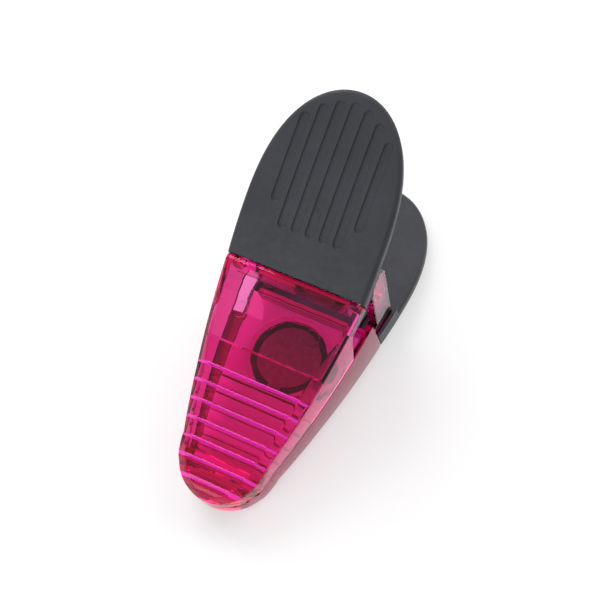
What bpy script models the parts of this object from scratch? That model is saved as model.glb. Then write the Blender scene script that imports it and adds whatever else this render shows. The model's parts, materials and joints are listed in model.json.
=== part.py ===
"""Magnetic bag clip, closed and lying on its back.

Two clear moulded arms turn against each other on a steel pin. A torsion spring on the pin
pushes the handles apart and so shuts the jaws. A soft black sleeve covers each handle, and a
disc magnet sits in a pocket in the outer face of the lower jaw.

Each arm is modelled in the hinge's own frame: the origin is on the pin's axis, x runs across the
clip, y along it (handles at +y, jaws at -y) and z up through the upper arm, so z = 0 is the plane
where the jaws meet. The lower arm is the same moulding, turned half a turn about y, with a round
pocket for the magnet. An empty then lays the closed clip on its back.
"""
import math

import bmesh
import bpy
from mathutils import Vector

MM = 0.001
GAP = 0.3 * MM  # between neighbouring pieces

# Plan of an arm, measured from the shoulder, where the clear jaw meets the black grip
SHOULDER_Y = -7.2 * MM
SHOULDER_HALF_WIDTH = 18.5 * MM
SHOULDER_HEIGHT = 17.1 * MM  # outer face above the parting plane
JAW_LENGTH = 56.5 * MM
JAW_SLOPE = 0.183
JAW_TAPER = 0.064  # half width lost per length, first order
JAW_BOW = 2.2  # half width lost per length squared, in 1/m
NOSE_LENGTH = 13.0 * MM  # rounded end of the jaw in plan
NOSE_DROP = 2.6 * MM  # rounding of the outer face at the tip
TIP_FLAT = 0.03 * MM  # left off the very tip, so that its end face has some width
HANDLE_LENGTH = 44.7 * MM
HANDLE_SLOPE = 0.457
HANDLE_BOW = 2.0  # the handle curves back in, in 1/m
HANDLE_HALF_WIDTH = 18.8 * MM
HANDLE_WIDEST = 10.9 * MM
HANDLE_ROUNDNESS = 2.63
HANDLE_END_HALF_WIDTH = 0.25 * MM

# Jaw walls and ribs
PARTING_GAP = 0.15 * MM
SKIRT_WALL = 1.8 * MM
PANEL_THICKNESS = 4.2 * MM
BITE_LENGTH = 9.0 * MM  # solid tip that grips
FACE_CHAMFER = 2.6 * MM
FACE_CHAMFER_DEPTH = 2.2 * MM
WIDEST_CHAMFER = 0.6  # of the half width, near the tip
SHOULDER_CHAMFER = 0.9 * MM
SHOULDER_BEVEL_LENGTH = 1.2 * MM
SHOULDER_BEVEL_DEPTH = 0.6 * MM
FIRST_RIB = 26.3 * MM
RIB_PITCH = 4.37 * MM
RIB_COUNT = 7
RIB_STEP = 0.7 * MM
RISER_HALF_LENGTH = 0.2 * MM
TOOTH_PITCH = 2.4 * MM
TOOTH_DEPTH = 0.8 * MM
TOOTH_COUNT = 3
FIRST_TOOTH = 1.9 * MM  # from the start of the bite

# Window, cross wall and side relief
WINDOW_LENGTH = 19.2 * MM  # the upper panel is thin as far as this, and thick under the ribs
PANE_THICKNESS = 2.4 * MM
CROSS_WALL_DEPTH = 10.0 * MM
SKIRT_RELIEF_LENGTH = 9.8 * MM
SKIRT_RELIEF_DEPTH = 4.0 * MM
SKIRT_RELIEF_SLANT = 2.9 * MM
CUT_MARGIN = 1.0 * MM  # how far a cutter reaches past what it cuts

# Hinge lugs and pin
LUG_INNER_X = 15.0 * MM
LUG_OUTER_X = 17.6 * MM
INNER_LUG_LOW_X = 12.2 * MM
INNER_LUG_HIGH_X = 14.6 * MM
LUG_HALF_WIDTH = 4.0 * MM
OUTER_LUG_REACH = 13.0 * MM  # past the pin's axis
INNER_LUG_REACH = 4.0 * MM
LUG_LEAN = 0.125
LUG_ROOT_END = 9.4 * MM
OUTER_LUG_ROOT_START = -0.5 * MM
INNER_LUG_ROOT_START = 2.0 * MM
ROOT_WALL_DEPTH = 7.1 * MM
PIN_RADIUS = 1.5 * MM
PIN_CLEARANCE = 0.08 * MM
PIN_HALF_LENGTH = 16.5 * MM
PIN_HOLE_END = 16.8 * MM

# Handle tongue and grip sleeve
GRIP_THICKNESS = 4.0 * MM
GRIP_RIM = 1.3 * MM
GRIP_SKIN = 0.9 * MM
TONGUE_THICKNESS = 1.7 * MM
TONGUE_INSET = 1.5 * MM
ROOT_LENGTH = 9.9 * MM
ROOT_HALF_WIDTH = 17.9 * MM
GROOVE_COUNT = 7
GROOVE_PITCH = 3.7 * MM
GROOVE_WIDTH = 2.2 * MM
GROOVE_DEPTH = 0.45 * MM
GROOVE_START = 10.5 * MM
OUTER_GROOVE_START = 15.5 * MM
GROOVE_END = 40.5 * MM
GROOVE_END_FALL = 0.65 * MM

# Magnet and its pocket in the lower jaw
MAGNET_RADIUS = 9.7 * MM
MAGNET_THICKNESS = 4.0 * MM
MAGNET_CHAMFER = 1.6 * MM  # across, and half as deep
MAGNET_SINK = 0.1 * MM  # below the jaw's outer face
MAGNET_FROM_SHOULDER = 14.2 * MM
POCKET_DEPTH = 4.4 * MM
POCKET_FLOOR = 1.2 * MM
POCKET_WALL = 1.2 * MM
POCKET_WALL_START = 2.0 * MM  # depth where the wall's ring parts from the panel

# Torsion spring
WIRE_RADIUS = 0.75 * MM
COIL_RADIUS = 3.1 * MM
COIL_TURNS = 5
COIL_HALF_LENGTH = 4.6 * MM
POINTS_PER_TURN = 12
LEG_END = 27.0 * MM

# Smoothness of the curves
OUTLINE_STEPS = 12
DISC_STEPS = 48
PIN_STEPS = 32
RIM_STEPS = 2
GROOVE_STEPS = 4
GROOVE_END_ANGLES = (15, 40, 65, 90)  # degrees round a groove's end
LUG_END_STEPS = 7
NOSE_TURNS = (0.25, 0.5, 0.7, 0.85, 0.95)
SHARP_ANGLE = math.radians(30)
MERGE_DISTANCE = 0.01 * MM


# ---------------------------------------------------------------- profiles of an arm

def jaw_face(y):
    """Height of the jaw's outer face at y, before ribs and nose."""
    return SHOULDER_HEIGHT + JAW_SLOPE * (y - SHOULDER_Y)


def handle_face(y):
    """Height of the handle's outer face at y."""
    along = y - SHOULDER_Y
    return SHOULDER_HEIGHT + HANDLE_SLOPE * along - HANDLE_BOW * along ** 2


def jaw_half_width(y):
    """Half width of the jaw in plan: bowed sides, then a half ellipse at the tip."""
    def side(back):
        return SHOULDER_HALF_WIDTH - JAW_TAPER * back - JAW_BOW * back ** 2

    back = SHOULDER_Y - y
    nose_start = JAW_LENGTH - NOSE_LENGTH
    if back <= nose_start:
        return side(back)
    part = min((back - nose_start) / NOSE_LENGTH, 1.0)
    return side(nose_start) * math.sqrt(1.0 - part ** 2)


def handle_half_width(along, inset):
    """Half width of the handle, at a distance from the shoulder, for an outline set in by inset."""
    widest = HANDLE_HALF_WIDTH - inset
    if along <= HANDLE_WIDEST:
        part = max(along, 0.0) / HANDLE_WIDEST
        narrow = SHOULDER_HALF_WIDTH - inset
        return narrow + (widest - narrow) * part * (2.0 - part)
    part = min((along - HANDLE_WIDEST) / (HANDLE_LENGTH - inset - HANDLE_WIDEST), 1.0)
    return widest * math.sqrt(max(1.0 - part ** HANDLE_ROUNDNESS, 0.0))


def handle_ring(inset, depth, start=0.0, end=None):
    """Closed outline of the handle at a depth below its outer face."""
    right = []
    for i in range(OUTLINE_STEPS + 1):
        part = math.sin(0.5 * math.pi * i / OUTLINE_STEPS)
        along = start + (HANDLE_LENGTH - inset - start) * part
        if end is not None:
            along = start + (end - start) * i / OUTLINE_STEPS
        half = max(handle_half_width(along, inset), HANDLE_END_HALF_WIDTH)
        y = SHOULDER_Y + along
        right.append((half, y, handle_face(y) - depth))
    return both_sides(right)


def both_sides(right):
    """Ring through points on the right and their mirror images on the left."""
    return right + [(-x, y, z) for x, y, z in reversed(right)]


# ---------------------------------------------------------------- modelling helpers

def collection(name):
    made = bpy.data.collections.new(name)
    bpy.context.scene.collection.children.link(made)
    return made


def add_object(name, bm, parent, group):
    bmesh.ops.recalc_face_normals(bm, faces=bm.faces)
    mesh = bpy.data.meshes.new(name)
    bm.to_mesh(mesh)
    bm.free()
    made = bpy.data.objects.new(name, mesh)
    made.parent = parent
    group.objects.link(made)
    return made


def loft(name, rings, parent, group, curved_ends=False):
    """Closed body through rings that have the same number of points.

    Curved ends are closed by strips from each point to its mirror image, flat ones by one face.
    """
    bm = bmesh.new()
    loops = [[bm.verts.new(point) for point in ring] for ring in rings]
    for low, high in zip(loops, loops[1:]):
        for i in range(len(low)):
            j = (i + 1) % len(low)
            bm.faces.new((low[i], low[j], high[j], high[i]))
    for end in (loops[0], loops[-1]):
        if curved_ends:
            for i in range(len(end) // 2 - 1):
                bm.faces.new((end[i], end[i + 1], end[-i - 2], end[-i - 1]))
        else:
            bm.faces.new(end)
    return add_object(name, bm, parent, group)


def block(name, low, high, parent, group):
    bm = bmesh.new()
    bmesh.ops.create_cube(bm, size=1.0)
    size = [b - a for a, b in zip(low, high)]
    middle = [0.5 * (a + b) for a, b in zip(low, high)]
    bmesh.ops.scale(bm, vec=size, verts=bm.verts)
    bmesh.ops.translate(bm, vec=middle, verts=bm.verts)
    return add_object(name, bm, parent, group)


def side_prism(name, outline, low_x, high_x, parent, group):
    """A side view outline of (y, z) points, extruded across the clip."""
    bm = bmesh.new()
    side = bm.faces.new([bm.verts.new((low_x, y, z)) for y, z in outline])
    extruded = bmesh.ops.extrude_face_region(bm, geom=[side])["geom"]
    far = [item for item in extruded if isinstance(item, bmesh.types.BMVert)]
    bmesh.ops.translate(bm, vec=(high_x - low_x, 0.0, 0.0), verts=far)
    return add_object(name, bm, parent, group)


def cylinder(name, radius, low, high, steps, parent, group):
    """A cylinder along its own z axis, from low to high."""
    bm = bmesh.new()
    bmesh.ops.create_cone(
        bm, cap_ends=True, segments=steps, radius1=radius, radius2=radius, depth=high - low
    )
    bmesh.ops.translate(bm, vec=(0.0, 0.0, 0.5 * (low + high)), verts=bm.verts)
    return shade_round(add_object(name, bm, parent, group))


def turned(name, profile, steps, parent, group):
    """A body turned about its own z axis from (radius, z) points, listed from its top down."""
    bm = bmesh.new()
    points = [bm.verts.new((radius, 0.0, z)) for radius, z in profile]
    for start, end in zip(points, points[1:]):
        bm.edges.new((start, end))
    made = add_object(name, bm, parent, group)
    screw = made.modifiers.new("turn", "SCREW")
    screw.steps = steps
    screw.render_steps = steps
    screw.use_merge_vertices = True
    screw.merge_threshold = MERGE_DISTANCE
    graph = bpy.context.evaluated_depsgraph_get()
    made.data = bpy.data.meshes.new_from_object(made.evaluated_get(graph))
    made.modifiers.clear()
    return shade_round(made)


def shade_round(made):
    made.data.shade_smooth()
    made.data.set_sharp_from_angle(angle=SHARP_ANGLE)
    return made


def set_in_jaw(made, centre_y):
    """Puts a round body's origin on the jaw's outer face, with its z axis square to the face."""
    made.location = (0.0, centre_y, jaw_face(centre_y))
    made.rotation_euler.x = math.atan(JAW_SLOPE)
    return made


def set_on_hinge(made):
    """Turns a round body's z axis onto the hinge's axis."""
    made.rotation_euler.y = 0.5 * math.pi
    return made


def combine(target, tool, operation):
    modifier = target.modifiers.new(tool.name, "BOOLEAN")
    modifier.operation = operation
    modifier.object = tool
    tool.hide_render = True
    tool.display_type = "WIRE"


def finish(made, colour, roughness, metallic=0.0, transmission=0.0):
    material = bpy.data.materials.new(made.name)
    material.use_nodes = True
    shader = material.node_tree.nodes["Principled BSDF"]
    shader.inputs["Base Color"].default_value = (*colour, 1.0)
    shader.inputs["Roughness"].default_value = roughness
    shader.inputs["Metallic"].default_value = metallic
    shader.inputs["Transmission Weight"].default_value = transmission
    made.data.materials.append(material)


# ---------------------------------------------------------------- the moulded arm

def jaw_stations():
    """(y, fall of the rib, fall of the nose or shoulder, chamfer) from the shoulder to the tip."""
    first_riser = SHOULDER_Y - FIRST_RIB
    stations = [
        (SHOULDER_Y, 0.0, SHOULDER_BEVEL_DEPTH, SHOULDER_CHAMFER),
        (SHOULDER_Y - SHOULDER_BEVEL_LENGTH, 0.0, 0.0, SHOULDER_CHAMFER),
        (SHOULDER_Y - 0.5 * FIRST_RIB, 0.0, 0.0, 0.5 * (SHOULDER_CHAMFER + FACE_CHAMFER)),
    ]
    for k in range(RIB_COUNT):
        riser = first_riser - k * RIB_PITCH
        stations.append((riser + RISER_HALF_LENGTH, 0.0, 0.0, FACE_CHAMFER))
        stations.append((riser - RISER_HALF_LENGTH, RIB_STEP, 0.0, FACE_CHAMFER))
    nose = JAW_LENGTH - FIRST_RIB - (RIB_COUNT - 1) * RIB_PITCH - RISER_HALF_LENGTH
    for turn in NOSE_TURNS:
        back = JAW_LENGTH - nose * (1.0 - turn)
        fall = NOSE_DROP * (1.0 - math.sqrt(1.0 - turn ** 2))
        stations.append((SHOULDER_Y - back, RIB_STEP, fall, FACE_CHAMFER))
    stations.append((SHOULDER_Y - JAW_LENGTH + TIP_FLAT, RIB_STEP, NOSE_DROP, FACE_CHAMFER))
    return stations


def jaw_body(name, parent, group):
    """Outer form of the jaw: a panel with stepped ribs, which fade out across the side chamfers."""
    rings = []
    for y, rib_fall, fall, chamfer in jaw_stations():
        half = jaw_half_width(y)
        inset = min(chamfer, WIDEST_CHAMFER * half)
        edge = jaw_face(y) - fall
        deep = inset * FACE_CHAMFER_DEPTH / FACE_CHAMFER
        top = edge - rib_fall
        rings.append([
            (-half, y, PARTING_GAP),
            (half, y, PARTING_GAP),
            (half, y, edge - deep),
            (half - inset, y, top),
            (inset - half, y, top),
            (-half, y, edge - deep),
        ])
    return loft(name, rings, parent, group)


def jaw_hollow(name, pane, parent, group):
    """Space under the panel, open at the parting plane, with the panel pane thick as far as the window."""
    step = SHOULDER_Y - WINDOW_LENGTH
    bite = SHOULDER_Y - JAW_LENGTH + BITE_LENGTH
    stations = [
        (SHOULDER_Y - SKIRT_WALL, pane),
        (step, pane),
        (step - RISER_HALF_LENGTH, PANEL_THICKNESS),
        (0.5 * (step + bite), PANEL_THICKNESS),
        (bite, PANEL_THICKNESS),
    ]
    rings = []
    for y, thickness in stations:
        half = jaw_half_width(y) - SKIRT_WALL
        top = jaw_face(y) - thickness
        rings.append([(-half, y, -CUT_MARGIN), (half, y, -CUT_MARGIN), (half, y, top), (-half, y, top)])
    return loft(name, rings, parent, group)


def lug_outline(reach, root_start, root_end):
    """Side view of a hinge lug: a root under the handle, leaning in to a rounded end past the pin."""
    left = []
    right = []
    for depth in (GRIP_SKIN + 2 * GAP, ROOT_WALL_DEPTH):
        for side, along in ((left, root_start), (right, root_end)):
            y = SHOULDER_Y + along
            side.append((y, handle_face(y) - depth))
    waist = 0.5 * (handle_face(0.0) - ROOT_WALL_DEPTH)
    left.append((-LUG_LEAN * waist - LUG_HALF_WIDTH, waist))
    right.append((-LUG_LEAN * waist + LUG_HALF_WIDTH, waist))
    round_start = 0.5 * (reach - LUG_HALF_WIDTH)
    for i in range(LUG_END_STEPS):
        angle = 0.5 * math.pi * i / LUG_END_STEPS
        z = -round_start - (reach - round_start) * math.sin(angle)
        half = LUG_HALF_WIDTH * math.cos(angle)
        left.append((-LUG_LEAN * z - half, z))
        right.append((-LUG_LEAN * z + half, z))
    return right + [(LUG_LEAN * reach, -reach)] + left[::-1]


def moulded_arm(name, has_pocket, parent, group, cutters):
    """One clear arm: side A of the moulding is at -x, side B at +x."""
    arm = jaw_body(name, parent, group)

    def tool(part):
        return f"{name}.{part}"

    pane = PANEL_THICKNESS if has_pocket else PANE_THICKNESS
    combine(arm, jaw_hollow(tool("hollow"), pane, parent, cutters), "DIFFERENCE")
    if has_pocket:
        centre = SHOULDER_Y - MAGNET_FROM_SHOULDER
        bore = MAGNET_RADIUS + GAP
        floor = POCKET_DEPTH + POCKET_FLOOR
        boss = cylinder(tool("boss"), bore + POCKET_WALL, -floor, -POCKET_WALL_START, DISC_STEPS,
                        parent, cutters)
        pocket = cylinder(tool("pocket"), bore, -POCKET_DEPTH, CUT_MARGIN, DISC_STEPS, parent, cutters)
        combine(arm, set_in_jaw(boss, centre), "UNION")
        combine(arm, set_in_jaw(pocket, centre), "DIFFERENCE")

    wall_z = SHOULDER_HEIGHT - CROSS_WALL_DEPTH
    inner = SHOULDER_HALF_WIDTH - SKIRT_WALL
    past_shoulder = SHOULDER_Y + CUT_MARGIN
    low = (-inner, SHOULDER_Y - SKIRT_WALL - GAP, -CUT_MARGIN)
    high = (inner, past_shoulder, wall_z)
    combine(arm, block(tool("under_wall"), low, high, parent, cutters), "DIFFERENCE")

    relief_end = SHOULDER_Y - SKIRT_RELIEF_LENGTH
    slanted = relief_end + SKIRT_RELIEF_SLANT
    relief = [
        (relief_end, -CUT_MARGIN),
        (slanted, jaw_face(slanted) - SKIRT_RELIEF_DEPTH),
        (past_shoulder, jaw_face(past_shoulder) - SKIRT_RELIEF_DEPTH),
        (past_shoulder, -CUT_MARGIN),
    ]
    low_x = LUG_INNER_X - 2 * GAP
    high_x = SHOULDER_HALF_WIDTH + CUT_MARGIN
    combine(arm, side_prism(tool("relief"), relief, low_x, high_x, parent, cutters), "DIFFERENCE")

    top = GRIP_SKIN + GAP
    tongue = [
        handle_ring(TONGUE_INSET, top, start=-CUT_MARGIN),
        handle_ring(TONGUE_INSET, top + TONGUE_THICKNESS, start=-CUT_MARGIN),
    ]
    combine(arm, loft(tool("tongue"), tongue, parent, cutters, curved_ends=True), "UNION")
    outline = lug_outline(OUTER_LUG_REACH, OUTER_LUG_ROOT_START, LUG_ROOT_END)
    lug = side_prism(tool("outer_lug"), outline, -LUG_OUTER_X, -LUG_INNER_X, parent, cutters)
    combine(arm, lug, "UNION")
    outline = lug_outline(INNER_LUG_REACH, INNER_LUG_ROOT_START, LUG_ROOT_END)
    lug = side_prism(tool("inner_lug"), outline, INNER_LUG_LOW_X, INNER_LUG_HIGH_X, parent, cutters)
    combine(arm, lug, "UNION")
    hole = cylinder(tool("pin_hole"), PIN_RADIUS + PIN_CLEARANCE, -PIN_HOLE_END, PIN_HOLE_END,
                    PIN_STEPS, parent, cutters)
    combine(arm, set_on_hinge(hole), "DIFFERENCE")
    for k in range(TOOTH_COUNT):
        combine(arm, tooth_groove(tool(f"tooth_{k}"), k, parent, cutters), "DIFFERENCE")
    return arm


def tooth_groove(name, k, parent, group):
    """A V groove across the bite, open at the parting plane."""
    y = SHOULDER_Y - JAW_LENGTH + BITE_LENGTH - FIRST_TOOTH - k * TOOTH_PITCH
    outline = [
        (y - TOOTH_DEPTH, -CUT_MARGIN),
        (y - TOOTH_DEPTH, PARTING_GAP),
        (y, TOOTH_DEPTH),
        (y + TOOTH_DEPTH, PARTING_GAP),
        (y + TOOTH_DEPTH, -CUT_MARGIN),
    ]
    return side_prism(name, outline, -SHOULDER_HALF_WIDTH, SHOULDER_HALF_WIDTH, parent, group)


# ---------------------------------------------------------------- grips, magnet, pin, spring

def under_handle(name, skin, length, half_width, low_x, parent, group):
    """Space below the handle's root, from a depth below its outer face down past the root wall."""
    ends = (SHOULDER_Y - CUT_MARGIN, SHOULDER_Y + length)
    floor = SHOULDER_HEIGHT - 2 * ROOT_WALL_DEPTH
    outline = [(y, handle_face(y) - skin) for y in ends] + [(y, floor) for y in reversed(ends)]
    return side_prism(name, outline, low_x, half_width, parent, group)


def grip_sleeve(name, parent, group, cutters):
    """Soft sleeve: a rounded pad over the tongue, with a side wall beside the outer lug."""
    edge = []
    for i in range(RIM_STEPS + 1):
        angle = 0.5 * math.pi * i / RIM_STEPS
        edge.append((GRIP_RIM * (1.0 - math.sin(angle)), GRIP_RIM * (1.0 - math.cos(angle))))
    layers = edge + [(inset, GRIP_THICKNESS - depth) for inset, depth in reversed(edge)]
    rings = [handle_ring(inset, depth, start=GAP) for inset, depth in layers]
    grip = loft(name, rings, parent, group, curved_ends=True)

    def tool(part):
        return f"{name}.{part}"

    root_depths = (GRIP_THICKNESS - GRIP_RIM, ROOT_WALL_DEPTH)
    root = [handle_ring(0.0, depth, start=GAP, end=LUG_ROOT_END + GAP) for depth in root_depths]
    combine(grip, loft(tool("root"), root, parent, cutters, curved_ends=True), "UNION")
    trim = under_handle(tool("trim"), GRIP_THICKNESS, ROOT_LENGTH + CUT_MARGIN,
                        SHOULDER_HALF_WIDTH + CUT_MARGIN, LUG_INNER_X - CUT_MARGIN, parent, cutters)
    combine(grip, trim, "DIFFERENCE")

    cavity_depths = (GRIP_SKIN, GRIP_SKIN + TONGUE_THICKNESS + 2 * GAP)
    cavity = [handle_ring(TONGUE_INSET - GAP, depth, start=-CUT_MARGIN) for depth in cavity_depths]
    combine(grip, loft(tool("cavity"), cavity, parent, cutters, curved_ends=True), "DIFFERENCE")
    open_root = under_handle(tool("open_root"), GRIP_SKIN, ROOT_LENGTH, ROOT_HALF_WIDTH,
                             -ROOT_HALF_WIDTH, parent, cutters)
    combine(grip, open_root, "DIFFERENCE")
    for k in range(GROOVE_COUNT):
        combine(grip, grip_groove(tool(f"groove_{k}"), k, parent, cutters), "DIFFERENCE")
    return grip


def grip_groove(name, k, parent, group):
    """One shallow groove with rounded ends; the outermost two start further up the handle."""
    place = k - (GROOVE_COUNT - 1) // 2
    outermost = abs(place) == (GROOVE_COUNT - 1) // 2
    start = OUTER_GROOVE_START if outermost else GROOVE_START
    end = GROOVE_END - GROOVE_END_FALL * place ** 2
    half = 0.5 * GROOVE_WIDTH
    ends = [math.radians(angle) for angle in GROOVE_END_ANGLES]
    outline = [(half * math.sin(a), start - half * math.cos(a)) for a in ends]
    for i in range(1, GROOVE_STEPS):
        outline.append((half, start + (end - start) * i / GROOVE_STEPS))
    outline += [(half * math.sin(a), end + half * math.cos(a)) for a in reversed(ends)]
    rings = []
    for depth in (-CUT_MARGIN, GROOVE_DEPTH):
        ring = both_sides([
            (x, SHOULDER_Y + along, handle_face(SHOULDER_Y + along) - depth) for x, along in outline
        ])
        rings.append([(place * GROOVE_PITCH + x, y, z) for x, y, z in ring])
    return loft(name, rings, parent, group, curved_ends=True)


def disc_magnet(name, parent, group):
    """Ferrite disc, chamfered on its inner edge, just below the jaw's outer face."""
    deep = MAGNET_SINK + MAGNET_THICKNESS
    profile = [
        (0.0, -MAGNET_SINK),
        (MAGNET_RADIUS, -MAGNET_SINK),
        (MAGNET_RADIUS, 0.5 * MAGNET_CHAMFER - deep),
        (MAGNET_RADIUS - MAGNET_CHAMFER, -deep),
        (0.0, -deep),
    ]
    magnet = turned(name, profile, DISC_STEPS, parent, group)
    return set_in_jaw(magnet, SHOULDER_Y - MAGNET_FROM_SHOULDER)


def torsion_spring(name, parent, group):
    """Coil on the pin with a straight leg to the inner face of each handle."""
    leg_depth = GRIP_THICKNESS + 1.5 * WIRE_RADIUS + GAP
    leg = Vector((LEG_END, handle_face(LEG_END) - leg_depth))
    lean = math.atan2(leg.y, leg.x)
    tangent = lean + math.acos(COIL_RADIUS / leg.length)
    sweep = 2.0 * math.pi * (COIL_TURNS + 1) - 2.0 * tangent
    steps = POINTS_PER_TURN * COIL_TURNS
    points = [(-COIL_HALF_LENGTH, leg.x, -leg.y)]
    for i in range(steps + 1):
        part = i / steps
        angle = -tangent - sweep * part
        x = COIL_HALF_LENGTH * (2.0 * part - 1.0)
        points.append((x, COIL_RADIUS * math.cos(angle), COIL_RADIUS * math.sin(angle)))
    points.append((COIL_HALF_LENGTH, leg.x, leg.y))
    curve = bpy.data.curves.new(name, "CURVE")
    curve.dimensions = "3D"
    curve.bevel_depth = WIRE_RADIUS
    curve.bevel_resolution = 2
    curve.use_fill_caps = True
    spline = curve.splines.new("POLY")
    spline.points.add(len(points) - 1)
    for target, point in zip(spline.points, points):
        target.co = (*point, 1.0)
    made = bpy.data.objects.new(name, curve)
    made.parent = parent
    group.objects.link(made)
    return made


# ---------------------------------------------------------------- assembly

def empty(name, parent=None):
    made = bpy.data.objects.new(name, None)
    made.empty_display_size = 10 * MM
    made.parent = parent
    bpy.context.scene.collection.objects.link(made)
    return made


def lay_on_back(stand, parts):
    """Tip the clip so that the lower jaw and lower handle touch the ground, centred on the origin."""
    last_rib = FIRST_RIB + (RIB_COUNT - 1) * RIB_PITCH
    jaw = Vector((SHOULDER_Y - last_rib, jaw_face(SHOULDER_Y - last_rib)))
    tail_y = SHOULDER_Y + HANDLE_LENGTH - GRIP_RIM
    tail = Vector((tail_y, handle_face(tail_y)))
    stand.rotation_euler.x = math.atan2(tail.y - jaw.y, tail.x - jaw.x)
    bpy.context.view_layer.update()
    graph = bpy.context.evaluated_depsgraph_get()
    corners = []
    for part in parts:
        seen = part.evaluated_get(graph)
        mesh = seen.to_mesh()
        corners.extend(seen.matrix_world @ vertex.co for vertex in mesh.vertices)
        seen.to_mesh_clear()
    low_y = min(p.y for p in corners)
    high_y = max(p.y for p in corners)
    stand.location = (0.0, -0.5 * (low_y + high_y), -min(p.z for p in corners))
    bpy.context.view_layer.update()


def build():
    for made in list(bpy.data.objects):
        bpy.data.objects.remove(made, do_unlink=True)
    parts_group = collection("bag_clip")
    cutters = collection("cutters")

    stand = empty("clip_on_its_back")
    lower = empty("lower_arm_frame", stand)
    lower.rotation_euler.y = math.pi
    upper = empty("upper_arm_hinge", stand)

    pink = (0.86, 0.03, 0.28)
    black = (0.035, 0.037, 0.042)
    upper_arm = moulded_arm("upper_arm", False, upper, parts_group, cutters)
    lower_arm = moulded_arm("lower_arm", True, lower, parts_group, cutters)
    upper_grip = grip_sleeve("upper_grip", upper, parts_group, cutters)
    lower_grip = grip_sleeve("lower_grip", lower, parts_group, cutters)
    magnet = disc_magnet("magnet", lower, parts_group)
    pin = cylinder("hinge_pin", PIN_RADIUS, -PIN_HALF_LENGTH, PIN_HALF_LENGTH, PIN_STEPS, lower, parts_group)
    set_on_hinge(pin)
    spring = torsion_spring("torsion_spring", stand, parts_group)

    for arm in (upper_arm, lower_arm):
        finish(arm, pink, 0.05, transmission=0.9)
    for grip in (upper_grip, lower_grip):
        finish(grip, black, 0.7)
    finish(magnet, (0.05, 0.05, 0.055), 0.5, metallic=0.3)
    finish(pin, (0.6, 0.6, 0.62), 0.3, metallic=1.0)
    finish(spring, (0.55, 0.55, 0.57), 0.3, metallic=1.0)
    lay_on_back(stand, [upper_arm, lower_arm, upper_grip, lower_grip, magnet, pin, spring])


build()
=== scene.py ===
"""Looks for the magnetic bag clip: two clear pink arms, soft black grips, magnet, pin and spring.

Every piece is modelled in the hinge's own frame, as in the CAD: the origin is on the pin's axis,
x runs across the clip, y along it (handles at +y, jaws at -y) and z up through the upper arm.
The lower arm comes from the same function, turned half a turn about y. The pieces are then moved
to where the CAD has them.
"""

import json
import math

import bmesh
import bpy
from mathutils import Matrix, Vector


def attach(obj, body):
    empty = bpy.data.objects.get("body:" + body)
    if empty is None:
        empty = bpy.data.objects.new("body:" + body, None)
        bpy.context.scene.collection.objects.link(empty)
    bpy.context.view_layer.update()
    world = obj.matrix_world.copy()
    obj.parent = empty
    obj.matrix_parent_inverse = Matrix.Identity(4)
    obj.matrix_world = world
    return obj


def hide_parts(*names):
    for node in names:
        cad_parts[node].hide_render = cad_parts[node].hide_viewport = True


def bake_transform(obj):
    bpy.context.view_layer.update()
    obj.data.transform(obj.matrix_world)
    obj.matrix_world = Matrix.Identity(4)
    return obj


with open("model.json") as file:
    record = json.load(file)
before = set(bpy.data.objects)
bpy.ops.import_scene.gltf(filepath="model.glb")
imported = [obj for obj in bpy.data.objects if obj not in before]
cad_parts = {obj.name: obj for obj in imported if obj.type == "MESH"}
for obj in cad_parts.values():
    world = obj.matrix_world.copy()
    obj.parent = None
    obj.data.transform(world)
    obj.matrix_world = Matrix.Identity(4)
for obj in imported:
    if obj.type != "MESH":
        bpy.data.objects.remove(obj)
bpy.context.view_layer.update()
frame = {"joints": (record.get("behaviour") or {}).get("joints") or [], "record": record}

MM = 0.001
GAP = 0.3 * MM

# Driving dimensions, measured from the shoulder where the clear jaw meets the black grip. They are
# the CAD's, but both lengths and the handle's width are a touch less, so that the finer curves stay
# in its box.
SHOULDER_Y = -7.2 * MM
SHOULDER_HALF_WIDTH = 18.5 * MM
SHOULDER_HEIGHT = 17.1 * MM
JAW_LENGTH = 56.36 * MM
JAW_SLOPE = 0.183
JAW_TAPER = 0.064
JAW_BOW = 2.2
NOSE_LENGTH = 13.0 * MM
NOSE_DROP = 2.6 * MM
HANDLE_LENGTH = 44.58 * MM
HANDLE_SLOPE = 0.457
HANDLE_BOW = 2.0
HANDLE_HALF_WIDTH = 18.79 * MM
HANDLE_WIDEST = 10.9 * MM
HANDLE_ROUNDNESS = 2.63

# Jaw
PARTING_GAP = 0.15 * MM
SKIRT_WALL = 1.5 * MM
PANEL_THICKNESS = 4.2 * MM
BITE_LENGTH = 9.0 * MM
BITE_SLOPE = 7.0 * MM
FACE_CHAMFER = 2.6 * MM
FACE_CHAMFER_DEPTH = 2.2 * MM
WIDEST_CHAMFER = 0.6
SHOULDER_CHAMFER = 0.9 * MM
SHOULDER_BEVEL_LENGTH = 1.2 * MM
SHOULDER_BEVEL_DEPTH = 0.6 * MM
FIRST_RIB = 26.3 * MM
RIB_PITCH = 4.37 * MM
RIB_COUNT = 7
RIB_STEP = 0.7 * MM
# Which faces of a rib's riser get the painted highlight, and which side faces get the painted glow
RISER_REACH = 0.45 * MM
RISER_ABOVE = 0.55
RISER_FORWARD = 0.35
RISER_UPWARD = 0.2
SIDE_FACING = 0.8
TOOTH_PITCH = 2.4 * MM
TOOTH_DEPTH = 0.8 * MM
TOOTH_COUNT = 3
FIRST_TOOTH = 1.9 * MM
WINDOW_LENGTH = 19.2 * MM
PANE_THICKNESS = 2.4 * MM
PIP_RADIUS = 2.0 * MM
PIP_HEIGHT = 0.15 * MM
PIP_ROOT = 0.3 * MM
PIP_X = 9.7 * MM
PIP_FROM_SHOULDER = 11.6 * MM
CROSS_WALL_DEPTH = 10.0 * MM
SKIRT_RELIEF_LENGTH = 9.8 * MM
SKIRT_RELIEF_DEPTH = 4.0 * MM
SKIRT_RELIEF_SLANT = 0.3
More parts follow.
